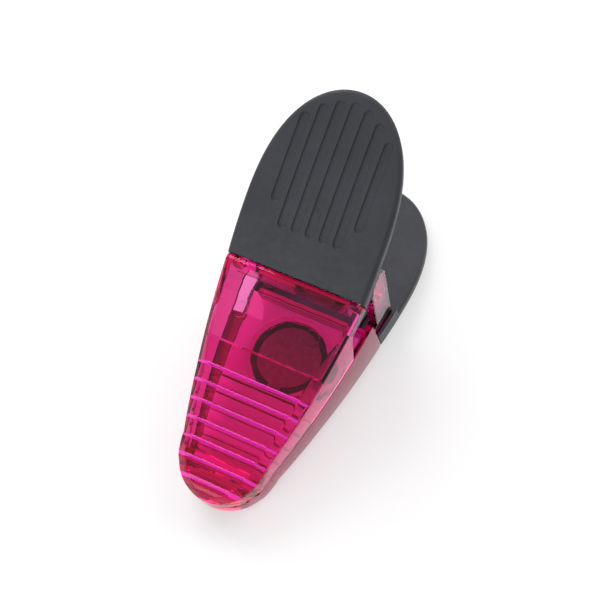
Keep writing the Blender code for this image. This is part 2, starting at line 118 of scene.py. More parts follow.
UNDER_WALL_REACH = 1.2

# Hinge
LUG_INNER_X = 15.0 * MM
LUG_OUTER_X = 17.6 * MM
INNER_LUG_LOW_X = 12.2 * MM
INNER_LUG_HIGH_X = 14.6 * MM
LUG_HALF_WIDTH = 4.0 * MM
OUTER_LUG_REACH = 13.0 * MM
INNER_LUG_REACH = 4.0 * MM
LUG_LEAN = 0.125
LUG_ROUND_FROM = 0.8
LUG_ROOT_END = 9.4 * MM
OUTER_LUG_ROOT_START = -0.5 * MM
INNER_LUG_ROOT_START = 2.0 * MM
ROOT_WALL_DEPTH = 7.1 * MM
PIN_RADIUS = 1.5 * MM
PIN_HALF_LENGTH = 16.5 * MM
PIN_CHAMFER = 0.2 * MM
PIN_HOLE_RADIUS = 1.58 * MM
PIN_HOLE_END = 16.8 * MM

# Handle tongue and grip sleeve
GRIP_THICKNESS = 4.0 * MM
GRIP_ROOT_FROM = 0.6
GRIP_RIM = 1.3 * MM
GRIP_SKIN = 0.9 * MM
TONGUE_THICKNESS = 1.7 * MM
TONGUE_INSET = 1.5 * MM
ROOT_LENGTH = 9.9 * MM
ROOT_HALF_WIDTH = 17.9 * MM
ROOT_WEB_X = 11.6 * MM
ROOT_WEB_THICKNESS = 2.0 * MM
GROOVE_COUNT = 7
GROOVE_PITCH = 3.7 * MM
GROOVE_WIDTH = 2.2 * MM
GROOVE_DEPTH = 0.45 * MM
GROOVE_START = 10.5 * MM
OUTER_GROOVE_START = 15.5 * MM
GROOVE_END = 40.5 * MM
GROOVE_END_FALL = 0.65 * MM

# Magnet and its pocket
MAGNET_RADIUS = 9.7 * MM
MAGNET_THICKNESS = 4.0 * MM
MAGNET_FIT = 0.18 * MM
MAGNET_EASE = 0.3 * MM
MAGNET_EDGE = 0.08 * MM
# Which of the magnet's faces get the painted shadow on its rim, and which face outwards
RIM_SIDEWAYS = 0.1
RIM_ALONG = 0.35
OUTER_FACING = 0.9
MAGNET_CHAMFER = 1.6 * MM
MAGNET_SINK = 0.1 * MM
MAGNET_FROM_SHOULDER = 14.2 * MM
POCKET_DEPTH = 4.4 * MM
POCKET_FLOOR = 1.2 * MM
POCKET_WALL = 1.2 * MM
POCKET_WALL_START = 2.0 * MM

# Torsion spring
WIRE_RADIUS = 0.75 * MM
COIL_RADIUS = 3.1 * MM
COIL_TURNS = 5
COIL_HALF_LENGTH = 4.6 * MM
LEG_END = 27.0 * MM
LEG_CLEARANCE = 1.5

# Rounding and smoothness
EDGE = 0.25 * MM
EASE = 0.3
CORNER = 0.5 * MM
CORNER_LIMIT = 0.45
THINNEST = 0.1 * MM
MERGE_DISTANCE = 1e-6
SMALLEST = 1e-9
CORNER_STEPS = 4
OUTLINE_STEPS = 40
DISC_STEPS = 96
NOSE_STEPS = 18
NOSE_END = 0.4
WINDOW_STEPS = 12
HOLLOW_STEPS = 6
BITE_STEPS = 8
LUG_STEPS = 16
BAR_STEPS = 48
RIM_STEPS = 7
GROOVE_TURN_STEPS = 10
COIL_TURN_STEPS = 32
WIRE_STEPS = 5
FINE_ANGLE = math.radians(12)
SMOOTH_ANGLE = math.radians(32)

# Clear plastic
PLASTIC_IOR = 1.5
GLOSS_TINT = (1.0, 0.7, 0.75)
DYE_LETS_THROUGH = (0.968, 0.0, 0.82)
DYE_DENSITY = 600.0

# Stage
FLOOR_GREY = 0.58
FLOOR_GLOW = 0.48
FLOOR_SIZE = 3.0
FLOOR_DROP = 0.2 * MM
WORLD_STRENGTH = 0.45


# ---------------------------------------------------------------- where the CAD has the hinge

hinge_joint = frame["joints"][0]
mount = Vector(frame["record"]["mounts"][0]["axis"])
TILT = math.atan2(mount.z, mount.y) - math.atan2(-1.0, -JAW_SLOPE)
HINGE = Matrix.Translation(hinge_joint["pos_m"]) @ Matrix.Rotation(TILT, 4, "X")
UPPER = HINGE
LOWER = HINGE @ Matrix.Rotation(math.pi, 4, "Y")


# ---------------------------------------------------------------- profiles of an arm

def jaw_face(y):
    return SHOULDER_HEIGHT + JAW_SLOPE * (y - SHOULDER_Y)


def handle_face(y):
    along = y - SHOULDER_Y
    return SHOULDER_HEIGHT + HANDLE_SLOPE * along - HANDLE_BOW * along ** 2


def jaw_half_width(y):
    def side(back):
        return SHOULDER_HALF_WIDTH - JAW_TAPER * back - JAW_BOW * back ** 2

    back = SHOULDER_Y - y
    nose_start = JAW_LENGTH - NOSE_LENGTH
    if back <= nose_start:
        return side(back)
    part = min((back - nose_start) / NOSE_LENGTH, 1.0)
    return side(nose_start) * math.sqrt(1.0 - part ** 2)


def handle_half_width(along, inset):
    widest = HANDLE_HALF_WIDTH - inset
    if along <= HANDLE_WIDEST:
        part = max(along, 0.0) / HANDLE_WIDEST
        narrow = SHOULDER_HALF_WIDTH - inset
        return narrow + (widest - narrow) * part * (2.0 - part)
    part = min((along - HANDLE_WIDEST) / (HANDLE_LENGTH - inset - HANDLE_WIDEST), 1.0)
    return widest * math.sqrt(max(1.0 - part ** HANDLE_ROUNDNESS, 0.0))


def handle_ring(inset, depth, start=0.0, end=None):
    right = []
    for i in range(OUTLINE_STEPS + 1):
        part = math.sin(0.5 * math.pi * i / OUTLINE_STEPS)
        along = start + (HANDLE_LENGTH - inset - start) * part
        if end is not None:
            along = start + (end - start) * i / OUTLINE_STEPS
        half = max(handle_half_width(along, inset), THINNEST)
        y = SHOULDER_Y + along
        right.append((half, y, handle_face(y) - depth))
    return both_sides(right)


def both_sides(right):
    return right + [(-x, y, z) for x, y, z in reversed(right)]


def rounded(corners, radii):
    """Closed 2D outline with each corner rounded by its own radius."""
    outline = []
    count = len(corners)
    for i in range(count):
        here = Vector(corners[i])
        before = Vector(corners[i - 1]) - here
        after = Vector(corners[(i + 1) % count]) - here
        reach = min(radii[i], CORNER_LIMIT * before.length, CORNER_LIMIT * after.length)
        start = here + before.normalized() * reach
        end = here + after.normalized() * reach
        for k in range(CORNER_STEPS + 1):
            t = k / CORNER_STEPS
            point = start * (1 - t) ** 2 + here * 2 * t * (1 - t) + end * t ** 2
            outline.append((point.x, point.y))
    return outline


def moved_in(outline, distance):
    """A closed 2D outline moved inwards, for an outline that runs counter-clockwise."""
    moved = []
    count = len(outline)
    for i in range(count):
        here = Vector(outline[i])
        before = here - Vector(outline[i - 1])
        after = Vector(outline[(i + 1) % count]) - here
        normal = before.normalized() + after.normalized()
        normal = Vector((-normal.y, normal.x))
        if normal.length > SMALLEST:
            normal.normalize()
        moved.append((here.x + normal.x * distance, here.y + normal.y * distance))
    return moved


# ---------------------------------------------------------------- modelling helpers

def add_object(name, bm):
    bmesh.ops.recalc_face_normals(bm, faces=bm.faces)
    mesh = bpy.data.meshes.new(name)
    bm.to_mesh(mesh)
    bm.free()
    made = bpy.data.objects.new(name, mesh)
    bpy.context.scene.collection.objects.link(made)
    return made


def loft(name, rings, curved_ends=False):
    """Closed body through rings of equal length; curved ends are closed by mirrored strips."""
    bm = bmesh.new()
    loops = [[bm.verts.new(point) for point in ring] for ring in rings]
    for low, high in zip(loops, loops[1:]):
        for i in range(len(low)):
            j = (i + 1) % len(low)
            bm.faces.new((low[i], low[j], high[j], high[i]))
    for end in (loops[0], loops[-1]):
        if curved_ends:
            for i in range(len(end) // 2 - 1):
                bm.faces.new((end[i], end[i + 1], end[-i - 2], end[-i - 1]))
        else:
            bm.faces.new(end)
    return add_object(name, bm)


def block(name, low, high):
    bm = bmesh.new()
    bmesh.ops.create_cube(bm, size=1.0)
    bmesh.ops.scale(bm, vec=[b - a for a, b in zip(low, high)], verts=bm.verts)
    bmesh.ops.translate(bm, vec=[0.5 * (a + b) for a, b in zip(low, high)], verts=bm.verts)
    return add_object(name, bm)


def side_prism(name, outline, low_x, high_x, edge=0.0):
    """A side view outline of (y, z) points, extruded across the clip, with its rims eased."""
    if edge:
        layers = [(low_x, edge), (low_x + EASE * edge, EASE * edge), (low_x + edge, 0.0),
                  (high_x - edge, 0.0), (high_x - EASE * edge, EASE * edge), (high_x, edge)]
    else:
        layers = [(low_x, 0.0), (high_x, 0.0)]
    return loft(name, [[(x, y, z) for y, z in moved_in(outline, inset)] for x, inset in layers])


def turned_disc(name, centre_x, centre_y, profile):
    """A round body from (radius, depth) rings, its axis square to the jaw's outer face."""
    normal = Vector((0.0, -JAW_SLOPE, 1.0)).normalized()
    along = Vector((0.0, 1.0, JAW_SLOPE)).normalized()
    centre = Vector((centre_x, centre_y, jaw_face(centre_y)))
    rings = []
    for radius, depth in profile:
        ring = []
        for i in range(DISC_STEPS):
            angle = 2.0 * math.pi * i / DISC_STEPS
            across = Vector((radius * math.cos(angle), 0.0, 0.0))
            ring.append(centre - normal * depth + across + along * radius * math.sin(angle))
        rings.append(ring)
    return loft(name, rings)


def cut_and_join(body, steps):
    """Runs the Booleans on body one after another, removes the tools and keeps the result."""
    for operation, tool in steps:
        modifier = body.modifiers.new(tool.name, "BOOLEAN")
        modifier.operation = operation
        modifier.object = tool
    graph = bpy.context.evaluated_depsgraph_get()
    result = bpy.data.meshes.new_from_object(body.evaluated_get(graph))
    body.modifiers.clear()
    body.data = result
    for _, tool in steps:
        bpy.data.objects.remove(tool, do_unlink=True)
    return body


def place(piece, matrix, body, nodes, materials):
    """Moves a finished piece to where the CAD has it, and says what it is."""
    piece.data.transform(matrix)
    for material in materials:
        piece.data.materials.append(material)
    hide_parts(*nodes)
    if body:
        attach(piece, body)


def smooth(piece, angle, even=True):
    """Smooth shading with sharp edges; even normals keep broad flat faces flat beside fillets."""
    piece.data.shade_smooth()
    piece.data.set_sharp_from_angle(angle=angle)
    if even:
        normals = piece.modifiers.new("even_normals", "WEIGHTED_NORMAL")
        normals.keep_sharp = True
    return piece


def give_faces(piece, index, chosen):
    """Gives the faces that chosen(centre, normal) picks the material slot with this index."""
    for face in piece.data.polygons:
        if chosen(face.center, face.normal):
            face.material_index = index


# ---------------------------------------------------------------- the moulded arm

# (share of the bevel's length, share of its depth) from the shoulder on
SHOULDER_BEVEL = ((0.0, 1.0), (0.35, 0.6), (0.7, 0.2), (1.0, 0.03), (1.3, 0.0))

# (distance before the riser in mm, share of the step) down each rib's riser, with eased edges
RISER = (
    (0.6, 0.0), (0.4, 0.02), (0.25, 0.08), (0.12, 0.22), (-0.08, 0.66), (-0.2, 0.88), (-0.32, 0.98),
    (-0.45, 1.0), (-0.9, 0.94),
)


def jaw_stations():
    """(y, fall of the rib, fall of the nose or shoulder, chamfer) from the shoulder to the tip."""
    stations = []
    for part, fall in SHOULDER_BEVEL:
        y = SHOULDER_Y - part * SHOULDER_BEVEL_LENGTH
        stations.append((y, 0.0, fall * SHOULDER_BEVEL_DEPTH, SHOULDER_CHAMFER))
    start = stations[-1][0]
    first_riser = SHOULDER_Y - FIRST_RIB
    for i in range(1, WINDOW_STEPS):
        part = i / WINDOW_STEPS
        chamfer = SHOULDER_CHAMFER + (FACE_CHAMFER - SHOULDER_CHAMFER) * part
        stations.append((start + (first_riser - start) * part, 0.0, 0.0, chamfer))
    for k in range(RIB_COUNT):
        riser = first_riser - k * RIB_PITCH
        for before, share in RISER:
            stations.append((riser + before * MM, share * RIB_STEP, 0.0, FACE_CHAMFER))
    last, rib_fall, _, _ = stations[-1]
    tip = SHOULDER_Y - JAW_LENGTH
    for i in range(1, NOSE_STEPS + 1):
        angle = 0.5 * math.pi * i / (NOSE_STEPS + NOSE_END)
        y = last + (tip - last) * math.sin(angle)
        stations.append((y, rib_fall, NOSE_DROP * (1.0 - math.cos(angle)), FACE_CHAMFER))
    return stations


def jaw_section(y, rib_fall, fall, chamfer):
    """Cross-section of the jaw: the ribs fade out across the chamfer, so its lower edge is straight."""
    half = jaw_half_width(y)
    inset = min(chamfer, WIDEST_CHAMFER * half)
    edge = jaw_face(y) - fall
    deep = inset * FACE_CHAMFER_DEPTH / FACE_CHAMFER
    top = edge - rib_fall
    corners = [
        (-half, PARTING_GAP), (half, PARTING_GAP), (half, edge - deep),
        (half - inset, top), (inset - half, top), (-half, edge - deep),
    ]
    soft = min(CORNER, 0.5 * inset)
    return [(x, y, z) for x, z in rounded(corners, [EDGE, EDGE, soft, soft, soft, soft])]


def riser_face(centre, normal):
    """Whether a face of the finished arm belongs to the riser of a rib, which gets the painted
    highlight.
    """
    back = SHOULDER_Y - FIRST_RIB - centre.y
    rib = round(back / RIB_PITCH)
    on_riser = 0 <= rib < RIB_COUNT and abs(back - rib * RIB_PITCH) < RISER_REACH
    outer = centre.z > RISER_ABOVE * jaw_face(centre.y)
    return on_riser and outer and normal.y < -RISER_FORWARD and normal.z > RISER_UPWARD


def side_wall(centre, normal):
    """Whether a face lies on the outer side of a jaw's side walls; on the lower arm these get the
    painted glow.
    """
    outer = abs(centre.x) > jaw_half_width(centre.y) - 0.5 * SKIRT_WALL
    return outer and abs(normal.x) > SIDE_FACING and centre.y < SHOULDER_Y


def jaw_hollow(name, pane):
    """Space under the panel, as thick as pane along the window, PANEL_THICKNESS under the ribs."""
    bite = SHOULDER_Y - JAW_LENGTH + BITE_LENGTH
    step = SHOULDER_Y - WINDOW_LENGTH
    start = SHOULDER_Y - SKIRT_WALL
    stations = [(start + (step - start) * i / HOLLOW_STEPS, pane) for i in range(HOLLOW_STEPS + 1)]
    stations += [(step - EDGE, PANEL_THICKNESS)]
    slope = bite + BITE_SLOPE
    for i in range(1, HOLLOW_STEPS + 1):
        stations.append((step + (slope - step) * i / HOLLOW_STEPS, PANEL_THICKNESS))
    deepest = jaw_face(bite) - MM
    for i in range(1, BITE_STEPS + 1):
        part = i / BITE_STEPS
        thickness = PANEL_THICKNESS + (deepest - PANEL_THICKNESS) * part * part
        stations.append((slope + (bite - slope) * part, thickness))
    rings = []
    for y, thickness in stations:
        half = jaw_half_width(y) - SKIRT_WALL
        top = jaw_face(y) - thickness
        corners = [(-half, -MM), (half, -MM), (half, top), (-half, top)]
        rings.append([(x, y, z) for x, z in rounded(corners, [EDGE, EDGE, CORNER, CORNER])])
    return loft(name, rings)


def lug_outline(reach, root_start, root_end):
    """Side view of a lug: its root under the handle, and its rounded end past the pin."""
    left = []
    right = []
    for depth in (GRIP_SKIN + 2 * GAP, ROOT_WALL_DEPTH):
        for side, along in ((left, root_start), (right, root_end)):
            y = SHOULDER_Y + along
            side.append((y, handle_face(y) - depth))
    waist = 0.5 * (handle_face(0.0) - ROOT_WALL_DEPTH)
    left.append((-LUG_LEAN * waist - LUG_HALF_WIDTH, waist))
    right.append((-LUG_LEAN * waist + LUG_HALF_WIDTH, waist))
    round_start = LUG_ROUND_FROM * (reach - LUG_HALF_WIDTH)
    for i in range(LUG_STEPS):
        angle = 0.5 * math.pi * i / LUG_STEPS
        z = -round_start - (reach - round_start) * math.sin(angle)
        half = LUG_HALF_WIDTH * math.cos(angle)
        left.append((-LUG_LEAN * z - half, z))
        right.append((-LUG_LEAN * z + half, z))
    outline = right + [(LUG_LEAN * reach, -reach)] + left[::-1]
    return outline[::-1]


def tooth_groove(name, k):
    """Cutter for the notch between two bite teeth."""
    y = SHOULDER_Y - JAW_LENGTH + BITE_LENGTH - FIRST_TOOTH - k * TOOTH_PITCH
    outline = [(y - TOOTH_DEPTH, -MM), (y - TOOTH_DEPTH, PARTING_GAP), (y, TOOTH_DEPTH),
               (y + TOOTH_DEPTH, PARTING_GAP), (y + TOOTH_DEPTH, -MM)]
    return side_prism(name, outline, -SHOULDER_HALF_WIDTH, SHOULDER_HALF_WIDTH)


def round_bar(name, profile):
    """A round bar on the hinge axis, from (x, radius) rings."""
    turn = [2.0 * math.pi * i / BAR_STEPS for i in range(BAR_STEPS)]
    rings = [[(x, radius * math.cos(a), radius * math.sin(a)) for a in turn] for x, radius in profile]
    return loft(name, rings)


def pin_hole(name):
    return round_bar(name, [(-PIN_HOLE_END, PIN_HOLE_RADIUS), (PIN_HOLE_END, PIN_HOLE_RADIUS)])


def hinge_bar(name):
    """The pin that both arms turn on, chamfered at both ends."""
    body_end = PIN_HALF_LENGTH - PIN_CHAMFER
    tip = PIN_RADIUS - PIN_CHAMFER
    profile = [(-PIN_HALF_LENGTH, tip), (-body_end, PIN_RADIUS)]
    profile += [(-x, radius) for x, radius in reversed(profile)]
    return smooth(round_bar(name, profile), SMOOTH_ANGLE, even=False)


def moulded_arm(name, has_window):
    """One clear arm, with its outer lug at -x and its inner lug at +x."""
    arm = loft(name, [jaw_section(*station) for station in jaw_stations()])
    steps = [("DIFFERENCE", jaw_hollow("hollow", PANE_THICKNESS if has_window else PANEL_THICKNESS))]
    if has_window:
        for side in (-1, 1):
            profile = [(PIP_RADIUS, PIP_ROOT), (PIP_RADIUS, -0.5 * PIP_HEIGHT),
                       (PIP_RADIUS - 0.5 * PIP_HEIGHT, -PIP_HEIGHT)]
            pip = turned_disc("pip", side * PIP_X, SHOULDER_Y - PIP_FROM_SHOULDER, profile)
            steps.append(("UNION", pip))
    else:
        centre = SHOULDER_Y - MAGNET_FROM_SHOULDER
        outer = MAGNET_RADIUS + GAP + POCKET_WALL
        floor = POCKET_DEPTH + POCKET_FLOOR
        boss = [(outer, POCKET_WALL_START), (outer, floor - EDGE),
                (outer - EASE * EDGE, floor - EASE * EDGE), (outer - EDGE, floor)]
        pocket = [(MAGNET_RADIUS + GAP, -MM), (MAGNET_RADIUS + GAP, POCKET_DEPTH)]
        steps.append(("UNION", turned_disc("boss", 0.0, centre, boss)))
        steps.append(("DIFFERENCE", turned_disc("pocket", 0.0, centre, pocket)))

    inner = SHOULDER_HALF_WIDTH - SKIRT_WALL
    low = (-inner, SHOULDER_Y - UNDER_WALL_REACH * SKIRT_WALL, -MM)
    high = (inner, SHOULDER_Y + MM, SHOULDER_HEIGHT - CROSS_WALL_DEPTH)
    steps.append(("DIFFERENCE", block("under_wall", low, high)))

    relief_end = SHOULDER_Y - SKIRT_RELIEF_LENGTH
    slanted = relief_end + SKIRT_RELIEF_SLANT * SKIRT_RELIEF_LENGTH
    relief = [
        (relief_end, -MM),
        (SHOULDER_Y + MM, -MM),
        (SHOULDER_Y + MM, jaw_face(SHOULDER_Y + MM) - SKIRT_RELIEF_DEPTH),
        (slanted, jaw_face(slanted) - SKIRT_RELIEF_DEPTH),
    ]
    cutter = side_prism("relief", relief, LUG_INNER_X - 2 * GAP, SHOULDER_HALF_WIDTH + MM)
    steps.append(("DIFFERENCE", cutter))

    top = GRIP_SKIN + GAP
    tongue = [handle_ring(TONGUE_INSET, depth, start=-MM) for depth in (top, top + TONGUE_THICKNESS)]
    steps.append(("UNION", loft("tongue", tongue, curved_ends=True)))
    outline = lug_outline(OUTER_LUG_REACH, OUTER_LUG_ROOT_START, LUG_ROOT_END)
    steps.append(("UNION", side_prism("outer_lug", outline, -LUG_OUTER_X, -LUG_INNER_X, CORNER)))
    outline = lug_outline(INNER_LUG_REACH, INNER_LUG_ROOT_START, LUG_ROOT_END)
    steps.append(("UNION", side_prism("inner_lug", outline, INNER_LUG_LOW_X, INNER_LUG_HIGH_X, EDGE)))
    steps.append(("DIFFERENCE", pin_hole("pin_hole")))
    for k in range(TOOTH_COUNT):
        steps.append(("DIFFERENCE", tooth_groove("tooth", k)))
    cut_and_join(arm, steps)
    # Painted highlight on the ribs' risers, and on the lower arm a painted glow on the outer side walls.
    give_faces(arm, 1, riser_face)
    if not has_window:
        give_faces(arm, 2, side_wall)
    return smooth(arm, FINE_ANGLE, even=False)


# ---------------------------------------------------------------- grips, magnet, spring

def under_handle(name, skin, low_x, high_x, start=-MM, end=ROOT_LENGTH):
    """Cutter that clears everything more than skin under the handle's outer face."""
    ends = (SHOULDER_Y + start, SHOULDER_Y + end)
    floor = SHOULDER_HEIGHT - 2 * ROOT_WALL_DEPTH
    outline = [(y, handle_face(y) - skin) for y in ends] + [(y, floor) for y in reversed(ends)]
    return side_prism(name, outline, low_x, high_x)


def grip_sleeve(name):
    """Soft sleeve with a rounded rim, hollow for the tongue, slotted for the roots of the lugs."""
    edge = []
    for i in range(RIM_STEPS + 1):
        angle = 0.5 * math.pi * i / RIM_STEPS
        edge.append((GRIP_RIM * (1.0 - math.sin(angle)), GRIP_RIM * (1.0 - math.cos(angle))))
    layers = edge + [(inset, GRIP_THICKNESS - depth) for inset, depth in reversed(edge)]
    rings = [handle_ring(inset, depth, start=GAP) for inset, depth in layers]
    grip = loft(name, rings, curved_ends=True)

    root_depths = (GRIP_ROOT_FROM * GRIP_THICKNESS, ROOT_WALL_DEPTH)
    root = [handle_ring(0.0, depth, start=GAP, end=LUG_ROOT_END + GAP) for depth in root_depths]
    trim = under_handle("trim", GRIP_THICKNESS, LUG_INNER_X - MM, SHOULDER_HALF_WIDTH + MM,
                        end=ROOT_LENGTH + MM)
    cavity_depths = (GRIP_SKIN, GRIP_SKIN + TONGUE_THICKNESS + 2 * GAP)
    cavity = [handle_ring(TONGUE_INSET - GAP, depth, start=-MM) for depth in cavity_depths]
    steps = [
        ("UNION", loft("root", root, curved_ends=True)),
        ("DIFFERENCE", trim),
        ("DIFFERENCE", loft("cavity", cavity, curved_ends=True)),
    ]
    for low_x, high_x in ((-ROOT_HALF_WIDTH, -ROOT_WEB_X), (ROOT_WEB_X, ROOT_HALF_WIDTH)):
        steps.append(("DIFFERENCE", under_handle("lug_root", GRIP_SKIN, low_x, high_x)))
    behind_web = under_handle("behind_web", GRIP_THICKNESS, -ROOT_WEB_X - GAP, ROOT_WEB_X + GAP,
                              start=ROOT_WEB_THICKNESS)
    steps.append(("DIFFERENCE", behind_web))
    steps += [("DIFFERENCE", grip_groove(f"groove_{k}", k)) for k in range(GROOVE_COUNT)]
    return smooth(cut_and_join(grip, steps), SMOOTH_ANGLE)


# (depth, growth of the half width in mm) from above the grip down to the groove's floor
GROOVE = (
    (-MM, 0.5), (-0.02 * MM, 0.14), (0.1 * MM, 0.02), (0.7 * GROOVE_DEPTH, -0.06), (GROOVE_DEPTH, -0.28),
)


def grip_groove(name, k):
    """Cutter for one shallow groove with rounded ends, eased lips and a hollow floor."""
    place_across = k - (GROOVE_COUNT - 1) // 2
    outermost = abs(place_across) == (GROOVE_COUNT - 1) // 2
    start = OUTER_GROOVE_START if outermost else GROOVE_START
    end = GROOVE_END - GROOVE_END_FALL * place_across ** 2
    turns = [0.5 * math.pi * i / GROOVE_TURN_STEPS for i in range(1, GROOVE_TURN_STEPS + 1)]
    rings = []
    for depth, grow in GROOVE:
        half = 0.5 * GROOVE_WIDTH + grow * MM
        outline = [(half * math.sin(a), start - half * math.cos(a)) for a in turns]
        for i in range(1, GROOVE_TURN_STEPS):
            outline.append((half, start + (end - start) * i / GROOVE_TURN_STEPS))
        outline += [(half * math.sin(a), end + half * math.cos(a)) for a in reversed(turns)]
        ring = both_sides([
            (x, SHOULDER_Y + along, handle_face(SHOULDER_Y + along) - depth) for x, along in outline
        ])
        rings.append([(place_across * GROOVE_PITCH + x, y, z) for x, y, z in ring])
    return loft(name, rings, curved_ends=True)


def disc_magnet(name):
    """Ferrite disc that fills its pocket: a ground inner face, made pale lilac with painted light, a
    black painted shadow on its rim, and a dark grey outer face.

    The chamfer gets the black painted shadow too, apart from the few faces nearest the nose, which stay
    pale.
    """
    deep = MAGNET_SINK + MAGNET_THICKNESS
    radius = MAGNET_RADIUS + MAGNET_FIT
    profile = [
        (radius - MAGNET_EASE, MAGNET_SINK),
        (radius - MAGNET_EDGE, MAGNET_SINK + MAGNET_EDGE),
        (radius, MAGNET_SINK + MAGNET_EASE),
        (radius, deep - 0.5 * MAGNET_CHAMFER),
        (radius - MAGNET_CHAMFER, deep),
    ]
    disc = turned_disc(name, 0.0, SHOULDER_Y - MAGNET_FROM_SHOULDER, profile)
    # Rim and chamfer faces get the painted shadow; the outer face gets its own dark grey.
    give_faces(disc, 1, lambda centre, normal: abs(normal.x) > RIM_SIDEWAYS or abs(normal.y) > RIM_ALONG)
    give_faces(disc, 2, lambda centre, normal: normal.z > OUTER_FACING)
    return smooth(disc, FINE_ANGLE, even=False)


def torsion_spring(name):
    """Coil on the pin with a straight leg to the inner face of each handle."""
    leg_depth = GRIP_THICKNESS + LEG_CLEARANCE * WIRE_RADIUS + GAP
    leg = Vector((LEG_END, handle_face(LEG_END) - leg_depth))
    tangent = math.atan2(leg.y, leg.x) + math.acos(COIL_RADIUS / leg.length)
    sweep = 2.0 * math.pi * (COIL_TURNS + 1) - 2.0 * tangent
    steps = COIL_TURN_STEPS * COIL_TURNS
    points = [(-COIL_HALF_LENGTH, leg.x, -leg.y)]
    for i in range(steps + 1):
        part = i / steps
        angle = -tangent - sweep * part
        x = COIL_HALF_LENGTH * (2.0 * part - 1.0)
        points.append((x, COIL_RADIUS * math.cos(angle), COIL_RADIUS * math.sin(angle)))
    points.append((COIL_HALF_LENGTH, leg.x, leg.y))
    curve = bpy.data.curves.new(name, "CURVE")
    curve.dimensions = "3D"
    curve.bevel_depth = WIRE_RADIUS
    curve.bevel_resolution = WIRE_STEPS
    curve.use_fill_caps = True
    spline = curve.splines.new("POLY")
    spline.points.add(len(points) - 1)
    for target, point in zip(spline.points, points):
        target.co = (*point, 1.0)
    wire = bpy.data.objects.new(name + "_curve", curve)
    bpy.context.scene.collection.objects.link(wire)
    graph = bpy.context.evaluated_depsgraph_get()
    mesh = bpy.data.meshes.new_from_object(wire.evaluated_get(graph))
    bpy.data.objects.remove(wire, do_unlink=True)
    bm = bmesh.new()
    bm.from_mesh(mesh)
    bmesh.ops.remove_doubles(bm, verts=bm.verts, dist=MERGE_DISTANCE)
    return add_object(name, bm)


# ---------------------------------------------------------------- materials

def new_material(name):
    material = bpy.data.materials.new(name)
    material.use_nodes = True
    nodes = material.node_tree.nodes
    return material, nodes, material.node_tree.links, nodes["Principled BSDF"]


def noise(nodes, links, scale, detail=3.0):
    """Noise in the object's own metres, so that its scale is in cycles per metre."""
    coordinates = nodes.new("ShaderNodeTexCoord")
    texture = nodes.new("ShaderNodeTexNoise")
    texture.inputs["Scale"].default_value = scale
    texture.inputs["Detail"].default_value = detail
    links.new(coordinates.outputs["Object"], texture.inputs["Vector"])
    return texture.outputs["Fac"]


def spread(nodes, links, factor, low, high):
    """Maps a noise factor to a range of numbers."""
    ranged = nodes.new("ShaderNodeMapRange")
    ranged.inputs["From Min"].default_value = 0.3
    ranged.inputs["From Max"].default_value = 0.7
    ranged.inputs["To Min"].default_value = low
    ranged.inputs["To Max"].default_value = high
    links.new(factor, ranged.inputs["Value"])
    return ranged.outputs["Result"]


def mottled(nodes, links, shader, scale, detail, dark, light):
    """A base colour that wanders between two colours."""
    mix = nodes.new("ShaderNodeMix")
    mix.data_type = "RGBA"
    mix.inputs["A"].default_value = (*dark, 1.0)
    mix.inputs["B"].default_value = (*light, 1.0)
    factor = spread(nodes, links, noise(nodes, links, scale, detail=detail), 0.0, 1.0)
    links.new(factor, mix.inputs["Factor"])
    links.new(mix.outputs["Result"], shader.inputs["Base Color"])


def uneven_roughness(nodes, links, shader, scale, low, high, detail=3.0):
    """Roughness that wanders between two values."""
    roughness = spread(nodes, links, noise(nodes, links, scale, detail=detail), low, high)
    links.new(roughness, shader.inputs["Roughness"])


def bump(nodes, links, shader, height, distance, strength):
    node = nodes.new("ShaderNodeBump")
    node.inputs["Distance"].default_value = distance
    node.inputs["Strength"].default_value = strength
    links.new(height, node.inputs["Height"])
    links.new(node.outputs["Normal"], shader.inputs["Normal"])


def clear_pink(name, colour, transmission):
    """Plastic with a pink dye that absorbs green: clear at full transmission; below it, a less clear
    copy whose hotter colour is painted light.
    """
    material, nodes, links, shader = new_material(name)
    shader.inputs["Base Color"].default_value = (*colour, 1.0)
    shader.inputs["Specular Tint"].default_value = (*GLOSS_TINT, 1.0)
    shader.inputs["Transmission Weight"].default_value = transmission
    shader.inputs["IOR"].default_value = PLASTIC_IOR
    uneven_roughness(nodes, links, shader, 180.0, 0.015, 0.05)
    bump(nodes, links, shader, noise(nodes, links, 160.0, detail=1.0), 0.0004, 0.15)
    absorption = nodes.new("ShaderNodeVolumeAbsorption")
    absorption.inputs["Color"].default_value = (*DYE_LETS_THROUGH, 1.0)
    absorption.inputs["Density"].default_value = DYE_DENSITY
    links.new(absorption.outputs["Volume"], nodes["Material Output"].inputs["Volume"])
    return material


def soft_black():
    material, nodes, links, shader = new_material("soft_black_rubber")
    mottled(nodes, links, shader, 90.0, 4.0, (0.027, 0.0285, 0.036), (0.037, 0.039, 0.049))
    uneven_roughness(nodes, links, shader, 700.0, 0.46, 0.6)
    shader.inputs["Specular IOR Level"].default_value = 0.45
    shader.inputs["Sheen Weight"].default_value = 0.06
    bump(nodes, links, shader, noise(nodes, links, 5500.0, detail=2.0), 0.00004, 0.5)
    return material


def ferrite(name, dark, light):
    material, nodes, links, shader = new_material(name)
    mottled(nodes, links, shader, 900.0, 5.0, dark, light)
    shader.inputs["Metallic"].default_value = 0.3
    uneven_roughness(nodes, links, shader, 1500.0, 0.35, 0.55)
    bump(nodes, links, shader, noise(nodes, links, 2500.0, detail=3.0), 0.00005, 0.4)
    return material


def spring_steel():
    material, nodes, links, shader = new_material("bright_steel")
    shader.inputs["Metallic"].default_value = 1.0
    mottled(nodes, links, shader, 400.0, 3.0, (0.52, 0.52, 0.54), (0.66, 0.66, 0.67))
    uneven_roughness(nodes, links, shader, 900.0, 0.2, 0.36, detail=4.0)
    bump(nodes, links, shader, noise(nodes, links, 3000.0), 0.00002, 0.3)
    return material


